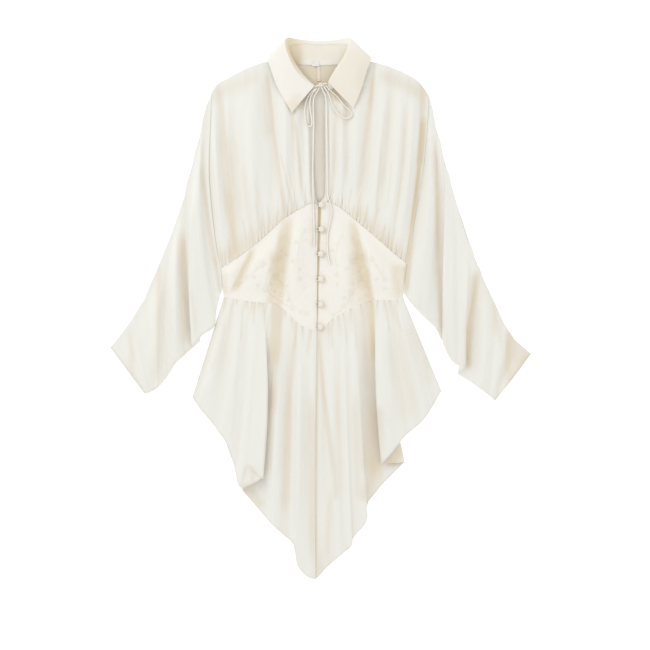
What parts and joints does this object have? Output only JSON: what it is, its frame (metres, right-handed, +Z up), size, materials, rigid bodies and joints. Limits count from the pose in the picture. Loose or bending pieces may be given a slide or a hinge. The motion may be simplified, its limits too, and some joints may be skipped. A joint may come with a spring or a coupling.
{
  "type": "batwing shirt laid flat",
  "caption": "Ivory batwing shirt laid flat, front up: turned-down collar, neck tie bow, pointed waist panel, wide sleeves and a folded skirt with a handkerchief hem.",
  "frame": {"origin": "on the surface that the shirt lies on, under the middle of its box, without the neck ties", "axes": "+Z up out of the shirt's front, +Y towards the collar, +X towards the wearer's left sleeve"},
  "size_m": [0.807, 1.0384, 0.0205],
  "materials": {
    "soft_crepe": "soft ivory crepe with a dull sheen",
    "figured_satin": "cream satin with a tonal flower pattern",
    "collar_satin": "cream satin, two layers",
    "rouleau": "narrow bias tube of the body cloth",
    "covered_button": "cloth-covered domed button",
    "label_tape": "woven white tape, blank"
  },
  "bodies": {
    "root": {"bodice_back": "soft_crepe", "bodice_front_right": "soft_crepe", "bodice_front_left": "soft_crepe", "sleeve_back_right": "soft_crepe", "sleeve_back_left": "soft_crepe", "sleeve_front_right": "soft_crepe", "sleeve_front_left": "soft_crepe", "waist_back": "figured_satin", "waist_front_right": "figured_satin", "waist_front_left": "figured_satin", "skirt_back": "soft_crepe", "skirt_front_right": "soft_crepe", "skirt_front_left": "soft_crepe", "collar_fall": "collar_satin", "collar_stand": "collar_satin", "neck_label": "label_tape", "size_tab": "label_tape", "tie_knot": "rouleau", "tie_loop_right": "rouleau", "tie_loop_left": "rouleau", "tie_tail_right": "rouleau", "tie_tail_left": "rouleau", "button_1": "covered_button", "button_2": "covered_button", "button_3": "covered_button", "button_4": "covered_button", "button_5": "covered_button", "button_6": "covered_button", "button_loop_1": "rouleau", "button_loop_2": "rouleau", "button_loop_3": "rouleau", "button_loop_4": "rouleau", "button_loop_5": "rouleau", "button_loop_6": "rouleau"}
  },
  "joints": []
}
